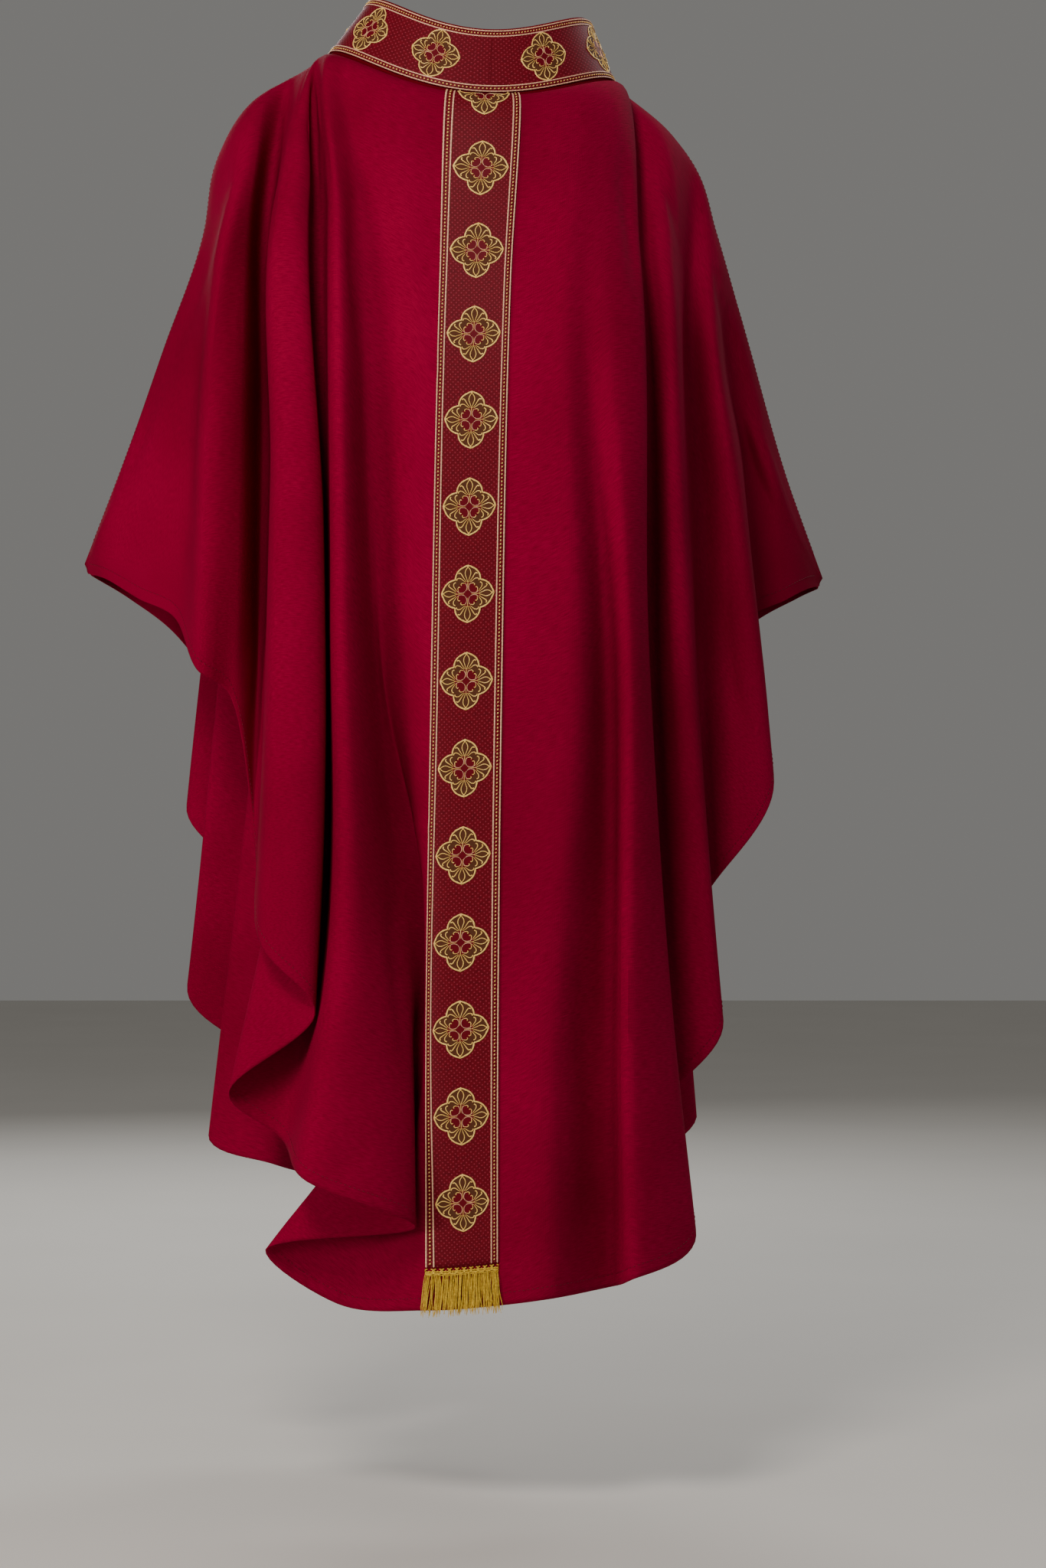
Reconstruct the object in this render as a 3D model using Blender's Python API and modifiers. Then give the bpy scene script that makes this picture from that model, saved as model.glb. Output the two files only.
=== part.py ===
# Gothic chasuble as worn, hollow inside: back and front panels, standing neckband,
# and the galloon that runs round the neckband and down the back to a fringed end.
# The origin is at the middle of the neck opening, level with the shoulders.
# The front faces -Y, the back +Y, and the wearer's left is +X.
import math
from collections import namedtuple

import bmesh
import bpy
import numpy as np
from mathutils import Vector

MM = 0.001

# Driving sizes, mm
CLOTH_WALL = 1.5          # crimson wool with its lining
NECKBAND_WALL = 2.0       # stiffened neckband
GALLOON_WALL = 1.2        # woven galloon
SEAM_GAP = 0.3            # air between sewn pieces
NECK_GAP = 0.9            # the same at the neck, where the ring is of straight pieces
FOLD_REACH = 52.0         # how far a turned fold bulges, as the length of its curve's handle
SEAM_STRIP = 3.0          # level strip of cloth beside a seam
BAND_END = 0.965          # where the galloon ends on the back, 1 being the hem
HEADER_END = 0.975        # lower edge of the fringe's header
HEADER_WALL = 2.5
STRANDS = 40
STRAND_LENGTH = 44.0
STRAND_TIP = 0.6          # a strand's tip against its root
NECK_LIFT = (0.05, 0.97)  # galloon's lower and upper edge on the neckband
HEADER_START = 0.03       # gap between galloon and header, against the header's rows
INSIDE = np.array((0.0, 0.0, -600.0))
NECK_INSIDE = np.array((0.0, -25.0, 10.0))

# Neck ring where the panels are sewn on, and the neckband's upper edge
NeckRing = namedtuple("NeckRing", "mid_x half_x mid_y half_y")
BASE_RING = NeckRing(6.0, 157.0, -21.0, 129.0)
TOP_RING = NeckRing(-3.0, 119.5, -30.0, 106.0)

# Shoulder and arm seams, from the neck ring to the tip of the wing
SeamPoint = namedtuple("SeamPoint", "name x y z")
SEAM_LEFT = [
    SeamPoint("neck", 164.5, -21, 17),
    SeamPoint("collarbone", 206, -18, -3),
    SeamPoint("shoulder", 244, -15, -30),
    SeamPoint("deltoid", 284, -12, -96),
    SeamPoint("upper_arm", 296, -18, -165),
    SeamPoint("elbow", 345, -60, -290),
    SeamPoint("forearm", 398, -105, -423),
    SeamPoint("tip", 442, -150, -520),
]
SEAM_RIGHT = [
    SeamPoint("neck", -152.5, -21, -14),
    SeamPoint("collarbone", -173, -18, -30),
    SeamPoint("shoulder", -210, -15, -63),
    SeamPoint("deltoid", -240, -12, -105),
    SeamPoint("upper_arm", -259, -18, -165),
    SeamPoint("elbow", -299, -60, -290),
    SeamPoint("forearm", -341, -105, -423),
    SeamPoint("tip", -386, -150, -536),
]

# Fold lines of the back. top is the place along the upper edge: 0 at the centre,
# 1 at the corner of neck and seam, 2 at the tip, minus on the right.
# x1 to y3 are places at three heights, xh yh zh the place on the hem.
BACK_HEIGHTS = (0.16, 0.5, 0.84)
BackFold = namedtuple("BackFold", "name top x1 y1 x2 y2 x3 y3 xh yh zh")
BACK_FOLDS = [
    BackFold("tip_left", 2.0, 441, -145, 439, -141, 438, -139, 437, -138, -531),
    BackFold("wing_left_low", 1.88, 414, -100, 418, -94, 414, -92, 411, -92, -540),
    BackFold("wing_left", 1.7, 366, -60, 367, -55, 370, -52, 371, -52, -564),
    BackFold("dip_left_1", 1.42, 303, 5, 310, -8, 320, -16, 330, -20, -585),
    BackFold("crest_left_1", 1.14, 250, 75, 279, 62, 291, 50, 297, 45, -647),
    BackFold("flank_left", 1.1, 238, 80, 255, 45, 262, 28, 267, 22, -669),
    BackFold("dip_left_2", 1.06, 224, 84, 231, 45, 232, 42, 237, 42, -836),
    BackFold("crest_left_2", 1.0, 205, 118, 190, 158, 212, 162, 221, 168, -936),
    BackFold("fold_left_2", 0.94, 180, 128, 157, 152, 155, 168, 166, 168, -1007),
    BackFold("under_left_2", 0.87, 172, 120, 184, 128, 220, 128, 259, 130, -1093),
    BackFold("flank_left_3", 0.8, 160, 122, 158, 120, 168, 116, 206, 112, -1139),
    BackFold("crest_left_3", 0.71, 145, 148, 136, 188, 132, 208, 172, 214, -1175),
    BackFold("fold_left_3", 0.59, 121, 155, 105, 172, 66, 188, 63, 188, -1225),
    BackFold("under_left_3", 0.49, 96, 158, 101, 150, 156, 98, 221, 116, -1258),
    BackFold("flank_left_4", 0.33, 66, 163, 73, 165, 108, 114, 146, 98, -1317),
    BackFold("band_left", 0.1, 37, 166, 45, 184, 50, 172, 51, 160, -1315),
    BackFold("band_right", -0.208, -38, 168, -29, 190, -25, 186, -25, 180, -1307),
    BackFold("crest_right_4", -0.48, -90, 165, -112, 190, -82, 192, -81, 192, -1298),
    BackFold("dip_right_4", -0.62, -116, 158, -141, 160, -134, 152, -138, 150, -1293),
    BackFold("crest_right_3", -0.8, -140, 140, -158, 175, -162, 180, -168, 180, -1279),
    BackFold("edge_right_3", -0.95, -171, 118, -184, 140, -210, 134, -230, 130, -1247),
    BackFold("dip_right_3", -1.0, -176, 98, -179, 95, -187, 88, -195, 85, -1113),
    BackFold("edge_right_2", -1.1, -202, 86, -221, 95, -246, 86, -260, 80, -1034),
    BackFold("dip_right_2", -1.2, -226, 50, -235, 40, -234, 36, -235, 35, -908),
    BackFold("edge_right_1", -1.33, -256, 35, -282, 30, -308, 22, -318, 20, -782),
    BackFold("dip_right_1", -1.45, -268, -5, -277, -30, -282, -42, -284, -45, -597),
    BackFold("wing_right", -1.72, -326, -60, -332, -66, -337, -70, -340, -70, -564),
    BackFold("wing_right_low", -1.88, -358, -102, -361, -100, -363, -100, -364, -100, -551),
    BackFold("tip_right", -2.0, -385, -145, -383, -142, -382, -140, -382, -138, -545),
]

# Fold lines of the front, in the same way with one height
FRONT_HEIGHTS = (0.3,)
FrontFold = namedtuple("FrontFold", "name top x1 y1 xh yh zh")
FRONT_FOLDS = [
    FrontFold("tip_left", 2.0, 440, -156, 437, -162, -532),
    FrontFold("wing_left_low", 1.86, 408, -172, 398, -195, -556),
    FrontFold("wing_left", 1.66, 362, -168, 345, -212, -598),
    FrontFold("crest_left_1", 1.36, 302, -172, 288, -238, -690),
    FrontFold("edge_left_1", 1.16, 274, -134, 331, -186, -798),
    FrontFold("fold_left_1", 1.08, 250, -124, 278, -168, -872),
    FrontFold("edge_left_2", 1.0, 238, -106, 325, -148, -1008),
    FrontFold("fold_left_2", 0.92, 216, -104, 248, -132, -1080),
    FrontFold("edge_left_3", 0.83, 202, -92, 299, -112, -1164),
    FrontFold("inner_left", 0.72, 178, -96, 228, -90, -1188),
    FrontFold("rise_left", 0.6, 150, -136, 178, -170, -1212),
    FrontFold("crest_left_4", 0.46, 118, -186, 125, -250, -1242),
    FrontFold("dip_left_4", 0.25, 64, -184, 66, -205, -1258),
    FrontFold("centre", 0.0, 6, -194, 8, -240, -1265),
    FrontFold("dip_right_4", -0.22, -50, -186, -52, -204, -1257),
    FrontFold("crest_right_4", -0.42, -96, -188, -110, -250, -1242),
    FrontFold("rise_right", -0.6, -130, -150, -150, -178, -1212),
    FrontFold("inner_right", -0.71, -150, -94, -182, -86, -1185),
    FrontFold("edge_right_3", -0.83, -178, -90, -243, -112, -1138),
    FrontFold("fold_right_2", -0.92, -184, -104, -182, -134, -1060),
    FrontFold("edge_right_2", -1.0, -212, -108, -248, -152, -985),
    FrontFold("fold_right_1", -1.08, -220, -130, -204, -176, -880),
    FrontFold("edge_right_1", -1.18, -252, -146, -285, -196, -790),
    FrontFold("crest_right_1", -1.38, -274, -162, -256, -224, -665),
    FrontFold("wing_right", -1.68, -320, -165, -305, -214, -590),
    FrontFold("wing_right_low", -1.88, -360, -172, -362, -190, -556),
    FrontFold("tip_right", -2.0, -384, -156, -382, -162, -547),
]

BACK_ROWS = (0.02, 0.05, 0.09, 0.14, 0.2, 0.28, 0.37, 0.46, 0.55,
             0.64, 0.73, 0.82, 0.9, BAND_END, HEADER_END, 1.0)
FRONT_ROWS = (0.04, 0.1, 0.18, 0.27, 0.38, 0.5, 0.62, 0.74, 0.85, 0.94, 1.0)
COLUMN_WIDTH = 32.0       # widest stretch of cloth between two columns
NECKBAND_COLUMNS = 48
NECKBAND_ROWS = 2

# Colours, linear
CRIMSON = (0.26, 0.0, 0.014, 1.0)
GALLOON_RED = (0.16, 0.012, 0.014, 1.0)
GOLD = (0.55, 0.33, 0.12, 1.0)


def ringPlace(ring, turn):
    """Point of a neck ring, turn in radians from the centre back towards the left."""
    side = math.sin(turn)
    back = math.cos(turn)
    if ring is BASE_RING:
        height = -41 + 15.5 * side + 58.5 * side ** 2 - 65 * ((1 - back) / 2) ** 2
    else:
        height = 6 + 30 * back + 11 * side + 63 * side ** 2
    return np.array([ring.mid_x + ring.half_x * side, ring.mid_y + ring.half_y * back, height])


def ringOutward(turn):
    """Level direction out of the neck ring."""
    out = np.array([math.sin(turn) / BASE_RING.half_x, math.cos(turn) / BASE_RING.half_y, 0.0])
    return out / np.linalg.norm(out)


def upperEdge(top, facing):
    """Place on a panel's upper edge and the level direction in which its cloth sets off."""
    reach = abs(top)
    side = math.copysign(1.0, top)
    if reach <= 1:
        turn = math.radians(90 * top) if facing > 0 else math.radians(180 - 90 * top)
        place = ringPlace(BASE_RING, turn) + ringOutward(turn) * (NECKBAND_WALL / 2 + NECK_GAP)
        slant = math.radians(20 * reach + 60 * reach * (1 - reach))
    else:
        seam = SEAM_LEFT if top > 0 else SEAM_RIGHT
        points = np.array([[p.x, p.y, p.z] for p in seam], float)
        along = np.r_[0, np.cumsum(np.linalg.norm(np.diff(points, axis=0), axis=1))]
        where = (reach - 1) * along[-1]
        place = np.array([smoothThrough(along, points[:, axis], where) for axis in range(3)])
        slant = math.radians(20 * max(0.0, 1 - (reach - 1) / 0.3))
    set_off = np.array([side * math.sin(slant), facing * math.cos(slant), 0.0])
    if reach >= 1:
        place = place + set_off * (SEAM_GAP / 2 + 0.5 * math.sin(slant))
    return place, set_off


def smoothThrough(knots, values, where):
    """Value at where of a smooth curve through values at knots."""
    slopes = np.gradient(values, knots)
    i = int(np.clip(np.searchsorted(knots, where) - 1, 0, len(knots) - 2))
    span = knots[i + 1] - knots[i]
    q = (where - knots[i]) / span
    return (values[i] * (1 + 2 * q) * (1 - q) ** 2 + slopes[i] * span * q * (1 - q) ** 2
            + values[i + 1] * q * q * (3 - 2 * q) - slopes[i + 1] * span * q * q * (1 - q))


def foldCurve(fold, heights, facing, rows):
    """Points down one fold line at each of the rows, 0 at the upper edge and 1 at the hem."""
    edge, set_off = upperEdge(fold.top, facing)
    start = edge + set_off * SEAM_STRIP
    numbers = list(fold)[2:]
    places = [start]
    for k, height in enumerate(heights):
        z = edge[2] + height * (fold.zh - edge[2])
        places.append(np.array([numbers[2 * k], numbers[2 * k + 1], z], float))
    places.append(np.array([fold.xh, fold.yh, fold.zh], float))
    knots = np.r_[0.0, heights, 1.0]
    places = np.array(places)
    slopes = np.gradient(places, knots, axis=0)
    level = np.linalg.norm((places[1] - places[0])[:2])
    slopes[0] = set_off * 1.4 * level / knots[1]
    points = []
    for row in rows:
        i = int(np.clip(np.searchsorted(knots, row) - 1, 0, len(knots) - 2))
        span = knots[i + 1] - knots[i]
        q = (row - knots[i]) / span
        points.append(places[i] * (1 + 2 * q) * (1 - q) ** 2 + slopes[i] * span * q * (1 - q) ** 2
                      + places[i + 1] * q * q * (3 - 2 * q) - slopes[i + 1] * span * q * q * (1 - q))
    return np.array(points)


def columnPlaces(curves):
    """Each column of a panel as its fold line's number and its share of the way to the next."""
    places = []
    for i in range(len(curves) - 1):
        width = np.linalg.norm(curves[i + 1] - curves[i], axis=1).max()
        steps = max(2, min(5, round(width / COLUMN_WIDTH)))
        places += [(i, step / steps) for step in range(steps)]
    return places + [(len(curves) - 2, 1.0)]


def turnSlope(arriving, leaving, gap_before, gap_after, gap_here):
    """Slope across a fold line, long enough seen from above for a turned fold to be round."""
    slope = arriving / gap_before * gap_after + leaving / gap_after * gap_before
    slope /= gap_before + gap_after
    before = arriving[:, :2]
    after = leaving[:, :2]
    lengths = np.linalg.norm(before, axis=1) * np.linalg.norm(after, axis=1) + 0.001
    turn = np.clip(-(before * after).sum(axis=1) / lengths, 0, 1)
    reach = np.linalg.norm(slope[:, :2], axis=1) * gap_here[:, 0] + 0.001
    slope[:, :2] *= np.maximum(1 + turn, FOLD_REACH * turn / reach)[:, None]
    return slope


def panelPoints(folds, heights, facing, rows):
    """Grid of a panel's middle surface, [row][column] from left to right, and its columns."""
    rows = (0.0,) + tuple(rows)
    curves = np.array([foldCurve(fold, heights, facing, rows) for fold in folds])
    tops = [fold.top for fold in folds]
    count = len(folds)
    fade = np.clip(1 - np.array(rows) / 0.2, 0, 1)[:, None] ** 2
    places = columnPlaces(curves)
    columns = []
    for i, q in places:
        before = curves[max(i - 1, 0)]
        left = curves[i]
        right = curves[i + 1]
        after = curves[min(i + 2, count - 1)]
        gaps = [np.sqrt(np.linalg.norm(b - a, axis=1))[:, None] + 0.5
                for a, b in ((before, left), (left, right), (right, after))]
        slope_left = slope_right = (right - left) / gaps[1]
        if i > 0:
            slope_left = turnSlope(left - before, right - left, gaps[0], gaps[1], gaps[1])
        if i + 2 < count:
            slope_right = turnSlope(right - left, after - right, gaps[1], gaps[2], gaps[1])
        points = (left * (1 + 2 * q) * (1 - q) ** 2 + slope_left * gaps[1] * q * (1 - q) ** 2
                  + right * q * q * (3 - 2 * q) - slope_right * gaps[1] * q * q * (1 - q))
        top = tops[i] + q * (tops[i + 1] - tops[i])
        edge, set_off = upperEdge(top, facing)
        strip = edge + set_off * SEAM_STRIP
        points = points + (strip - points[0]) * fade
        columns.append(np.vstack([edge, points]))
    return np.array(columns).transpose(1, 0, 2), places


def gridNormals(points):
    """Unit normals of a grid of points, on the garment's outer side."""
    normals = np.cross(np.gradient(points, axis=1), np.gradient(points, axis=0))
    normals /= np.linalg.norm(normals, axis=2)[:, :, None]
    facing = ((points - INSIDE) * normals).sum()
    return normals if facing > 0 else -normals


def surfaceMesh(name, points, inside=INSIDE):
    """Open mesh through a grid of points, its faces turned away from the point inside."""
    rows, columns = points.shape[:2]
    bm = bmesh.new()
    bmesh.ops.create_grid(bm, x_segments=columns - 1, y_segments=rows - 1, size=1.0)
    for vert in bm.verts:
        column = round((vert.co.x + 1) / 2 * (columns - 1))
        row = round((vert.co.y + 1) / 2 * (rows - 1))
        vert.co = points[row][column] * MM
    bmesh.ops.remove_doubles(bm, verts=bm.verts, dist=0.001 * MM)
    bmesh.ops.triangulate(bm, faces=bm.faces)
    bm.normal_update()
    start = Vector(inside * MM)
    facing = sum(face.normal.dot(face.calc_center_median() - start) * face.calc_area()
                 for face in bm.faces)
    if facing < 0:
        bmesh.ops.reverse_faces(bm, faces=bm.faces)
    mesh = bpy.data.meshes.new(name)
    bm.to_mesh(mesh)
    bm.free()
    return mesh


def ringPoints(lift_from, lift_to, out):
    """Grid of points round the neckband, moved out by out from its middle surface."""
    grid = []
    for row in range(NECKBAND_ROWS + 1):
        lift = lift_from + (lift_to - lift_from) * row / NECKBAND_ROWS
        ring = []
        for column in range(NECKBAND_COLUMNS + 1):
            turn = -2 * math.pi * column / NECKBAND_COLUMNS
            low = ringPlace(BASE_RING, turn)
            high = ringPlace(TOP_RING, turn)
            ahead = ringPlace(BASE_RING, turn - 0.01) - ringPlace(BASE_RING, turn + 0.01)
            normal = np.cross(high - low, ahead)
            normal /= np.linalg.norm(normal) * np.sign(np.dot(normal, ringOutward(turn)))
            ring.append(low + (high - low) * lift + normal * out)
        grid.append(ring)
    return np.array(grid)


def fringeMesh(points, normals):
    """Header strip on the back's two rows below the galloon, with its strands in one body."""
    bm = bmesh.new()
    bmesh.ops.create_cube(bm, size=1.0)
    long_edges = [edge for edge in bm.edges
                  if abs(edge.verts[0].co.x - edge.verts[1].co.x) > 0.5]
    bmesh.ops.subdivide_edges(bm, edges=long_edges, cuts=2 * STRANDS, use_grid_fill=True)
    low_faces = [face for face in bm.faces if face.calc_center_median().z < -0.49]
    low_faces.sort(key=lambda face: face.calc_center_median().x)
    columns = points.shape[1] - 1
    for vert in bm.verts:
        where = (0.5 - vert.co.x) * columns
        i = min(int(where), columns - 1)
        q = where - i
        upper, lower = (points[k][i] * (1 - q) + points[k][i + 1] * q for k in (0, 1))
        normal = normals[0][i] * (1 - q) + normals[0][i + 1] * q
        down = HEADER_START + (1 - HEADER_START) * (0.5 - vert.co.z)
        out = CLOTH_WALL / 2 + SEAM_GAP + HEADER_WALL * (0.5 + vert.co.y)
        vert.co = (upper * (1 - down) + lower * down + normal * out) * MM
    strands = bmesh.ops.extrude_discrete_faces(bm, faces=low_faces[::2])["faces"]
    for strand in strands:
        root = strand.calc_center_median()
        for vert in strand.verts:
            vert.co = root + (vert.co - root) * STRAND_TIP + Vector((0, 0, -STRAND_LENGTH)) * MM
    bmesh.ops.recalc_face_normals(bm, faces=bm.faces)
    bmesh.ops.triangulate(bm, faces=bm.faces)
    mesh = bpy.data.meshes.new("fringe")
    bm.to_mesh(mesh)
    bm.free()
    return mesh


def material(name, colour, roughness, metallic):
    made = bpy.data.materials.new(name)
    made.use_nodes = True
    shader = made.node_tree.nodes["Principled BSDF"]
    shader.inputs["Base Color"].default_value = colour
    shader.inputs["Roughness"].default_value = roughness
    shader.inputs["Metallic"].default_value = metallic
    return made


def addPiece(mesh, collection, finish, wall=0.0):
    """Object of one piece, named as its mesh, which gets a wall where it is a sheet."""
    piece = bpy.data.objects.new(mesh.name, mesh)
    collection.objects.link(piece)
    mesh.materials.append(finish)
    mesh.shade_smooth()
    if wall:
        solid = piece.modifiers.new("Wall", "SOLIDIFY")
        solid.thickness = wall * MM
        solid.offset = 0.0
    return piece


def buildChasuble():
    for old in list(bpy.data.objects):
        bpy.data.objects.remove(old, do_unlink=True)
    collection = bpy.data.collections.new("chasuble")
    bpy.context.scene.collection.children.link(collection)
    back, back_places = panelPoints(BACK_FOLDS, BACK_HEIGHTS, 1, BACK_ROWS)
    front = panelPoints(FRONT_FOLDS, FRONT_HEIGHTS, -1, FRONT_ROWS)[0]
    addPiece(surfaceMesh("back_panel", back), collection,
             material("back cloth", CRIMSON, 0.75, 0.0), CLOTH_WALL)
    addPiece(surfaceMesh("front_panel", front), collection,
             material("front cloth", CRIMSON, 0.75, 0.0), CLOTH_WALL)
    addPiece(surfaceMesh("neckband", ringPoints(0.0, 1.0, 0.0), NECK_INSIDE), collection,
             material("neckband cloth", GALLOON_RED, 0.6, 0.0), NECKBAND_WALL)
    out = NECKBAND_WALL / 2 + SEAM_GAP + GALLOON_WALL / 2
    addPiece(surfaceMesh("neckband_galloon", ringPoints(*NECK_LIFT, out), NECK_INSIDE), collection,
             material("neckband galloon", GALLOON_RED, 0.45, 0.1), GALLOON_WALL)
    names = [fold.name for fold in BACK_FOLDS]
    band = slice(back_places.index((names.index("band_left"), 0.0)),
                 back_places.index((names.index("band_right"), 0.0)) + 1)
    normals = gridNormals(back)
    out = CLOTH_WALL / 2 + SEAM_GAP + GALLOON_WALL / 2
    last = BACK_ROWS.index(BAND_END) + 3
    galloon = back[1:last, band] + normals[1:last, band] * out
    addPiece(surfaceMesh("back_galloon", galloon), collection,
             material("back galloon", GALLOON_RED, 0.45, 0.1), GALLOON_WALL)
    header = slice(last - 1, last + 1)
    addPiece(fringeMesh(back[header, band], normals[header, band]), collection,
             material("gold fringe", GOLD, 0.4, 0.3))


buildChasuble()
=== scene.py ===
import math
from collections import namedtuple

import bmesh
import bpy
import numpy as np
from mathutils import Matrix, Vector


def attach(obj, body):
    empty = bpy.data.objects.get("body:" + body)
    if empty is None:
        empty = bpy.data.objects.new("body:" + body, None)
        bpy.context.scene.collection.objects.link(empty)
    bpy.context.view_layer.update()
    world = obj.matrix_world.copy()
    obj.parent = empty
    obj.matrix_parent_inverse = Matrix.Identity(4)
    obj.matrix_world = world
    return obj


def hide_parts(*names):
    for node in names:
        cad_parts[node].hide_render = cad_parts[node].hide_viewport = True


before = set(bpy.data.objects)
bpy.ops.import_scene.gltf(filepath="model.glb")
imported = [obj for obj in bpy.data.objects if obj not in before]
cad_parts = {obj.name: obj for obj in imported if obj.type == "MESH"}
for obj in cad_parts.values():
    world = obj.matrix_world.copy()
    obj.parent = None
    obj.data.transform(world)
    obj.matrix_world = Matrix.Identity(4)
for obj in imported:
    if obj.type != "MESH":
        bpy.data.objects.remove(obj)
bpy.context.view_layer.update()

mm = 0.001
rng = np.random.default_rng(7)

# Neck ring, seams and fold lines, the same tables as in the CAD

NeckRing = namedtuple("NeckRing", "midX halfX midY halfY")
baseRing = NeckRing(6.0, 157.0, -21.0, 129.0)
topRing = NeckRing(-3.0, 119.5, -30.0, 106.0)

seamLeft = np.array([(164.5, -21, 17), (206, -18, -3), (244, -15, -30), (284, -12, -96),
                     (296, -18, -165), (345, -60, -290), (398, -105, -423), (442, -150, -520)],
                    float)
seamRight = np.array([(-152.5, -21, -14), (-173, -18, -30), (-210, -15, -63), (-240, -12, -105),
                      (-259, -18, -165), (-299, -60, -290), (-341, -105, -423),
                      (-386, -150, -536)], float)

# Each line: top (0 centre, 1 corner of neck and seam, 2 tip of the wing, minus on the
# right), then x and y at each height, then x, y and z on the hem
backHeights = (0.16, 0.5, 0.84)
backFolds = [
    (2.0, 441, -145, 439, -141, 438, -139, 437, -138, -531),
    (1.88, 414, -100, 418, -94, 414, -92, 411, -92, -540),
    (1.7, 366, -60, 367, -55, 370, -52, 371, -52, -564),
    (1.42, 303, 5, 310, -8, 320, -16, 330, -20, -585),
    (1.14, 254, 84, 283, 76, 293, 58, 297, 45, -647),
    (1.1, 237, 76, 251, 64, 258, 46, 267, 28, -669),
    (1.06, 221, 40, 228, 0, 234, 4, 238, 28, -836),
    (1.0, 203, 124, 205, 160, 214, 164, 221, 168, -936),
    (0.94, 176, 134, 159, 160, 158, 170, 166, 168, -1007),
    (0.87, 174, 108, 184, 116, 220, 122, 259, 130, -1093),
    (0.8, 160, 118, 160, 108, 170, 108, 206, 112, -1139),
    (0.71, 143, 156, 138, 190, 140, 206, 172, 214, -1175),
    (0.59, 119, 138, 106, 141, 66, 158, 61, 186, -1225),
    (0.49, 96, 144, 96, 134, 72, 128, 221, 114, -1258),
    (0.33, 66, 161, 72, 162, 62, 132, 146, 96, -1317),
    (0.1, 37, 166, 45, 184, 50, 172, 51, 160, -1315),      # left edge of the band
    (-0.208, -38, 168, -29, 190, -25, 186, -25, 180, -1307),   # right edge of the band
    (-0.48, -90, 165, -108, 192, -80, 192, -81, 192, -1298),
    (-0.62, -116, 154, -138, 152, -140, 140, -142, 140, -1293),
    (-0.8, -142, 142, -160, 177, -160, 186, -164, 186, -1279),
    (-0.95, -171, 118, -180, 142, -208, 138, -230, 130, -1247),
    (-1.0, -175, 72, -184, 62, -192, 62, -198, 72, -1113),
    (-1.1, -204, 90, -217, 98, -244, 88, -260, 80, -1034),
    (-1.2, -229, 24, -243, 4, -241, 8, -238, 24, -908),
    (-1.33, -256, 34, -280, 32, -308, 24, -318, 20, -782),
    (-1.45, -272, -14, -294, -48, -290, -52, -286, -48, -597),
    (-1.72, -326, -60, -332, -66, -337, -70, -340, -70, -564),
    (-1.88, -358, -102, -361, -100, -363, -100, -364, -100, -551),
    (-2.0, -385, -145, -383, -142, -382, -140, -382, -138, -545),
]
frontHeights = (0.3,)
frontFolds = [
    (2.0, 440, -156, 437, -162, -532),
    (1.86, 408, -172, 398, -195, -556),
    (1.66, 362, -168, 345, -212, -598),
    (1.36, 302, -172, 288, -238, -690),
    (1.16, 274, -134, 331, -186, -798),
    (1.08, 250, -124, 278, -168, -872),
    (1.0, 238, -106, 325, -148, -1008),
    (0.92, 216, -104, 248, -132, -1080),
    (0.83, 202, -92, 299, -112, -1164),
    (0.72, 178, -96, 228, -90, -1188),
    (0.6, 150, -136, 178, -170, -1212),
    (0.46, 118, -186, 125, -250, -1242),
    (0.25, 64, -184, 66, -205, -1258),
    (0.0, 6, -194, 8, -240, -1265),
    (-0.22, -50, -186, -52, -204, -1257),
    (-0.42, -96, -188, -110, -250, -1242),
    (-0.6, -130, -150, -150, -178, -1212),
    (-0.71, -150, -94, -182, -86, -1185),
    (-0.83, -178, -90, -243, -112, -1138),
    (-0.92, -184, -104, -182, -134, -1060),
    (-1.0, -212, -108, -248, -152, -985),
    (-1.08, -220, -130, -204, -176, -880),
    (-1.18, -252, -146, -285, -196, -790),
    (-1.38, -274, -162, -256, -224, -665),
    (-1.68, -320, -165, -305, -214, -590),
    (-1.88, -360, -172, -362, -190, -556),
    (-2.0, -384, -156, -382, -162, -547),
]
bandLeft, bandRight = 15, 16      # their places in backFolds


# Small helpers for materials

def linear(hexColour):
    channels = [int(hexColour[i:i + 2], 16) / 255 for i in (1, 3, 5)]
    return tuple(c / 12.92 if c <= 0.04045 else ((c + 0.055) / 1.055) ** 2.4
                 for c in channels) + (1.0,)


def addNode(tree, kind, inputs=None, **settings):
    node = tree.nodes.new(kind)
    for name, value in settings.items():
        setattr(node, name, value)
    for socket, value in (inputs or {}).items():
        if isinstance(value, bpy.types.NodeSocket):
            tree.links.new(value, node.inputs[socket])
        else:
            node.inputs[socket].default_value = value
    return node


def newMaterial(name, sockets):
    material = bpy.data.materials.new(name)
    material.use_nodes = True
    shader = material.node_tree.nodes["Principled BSDF"]
    for socket, value in sockets.items():
        shader.inputs[socket].default_value = value
    return material, material.node_tree, shader


def mixColours(tree, share, first, second):
    node = addNode(tree, "ShaderNodeMix", data_type="RGBA")
    tree.links.new(share, node.inputs[0])
    for socket, value in ((node.inputs[6], first), (node.inputs[7], second)):
        if isinstance(value, bpy.types.NodeSocket):
            tree.links.new(value, socket)
        else:
            socket.default_value = value
    return node.outputs[2]


# The garment's surfaces

cloth = {"wall": 1.5, "seamGap": 0.3, "neckGap": 0.9, "neckWall": 2.0, "galloonWall": 1.2,
         "foldReach": 52.0, "seamStrip": 3.0, "columnWidth": 9.5, "rows": 132,
         "inside": np.array((0.0, 0.0, -600.0))}


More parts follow.
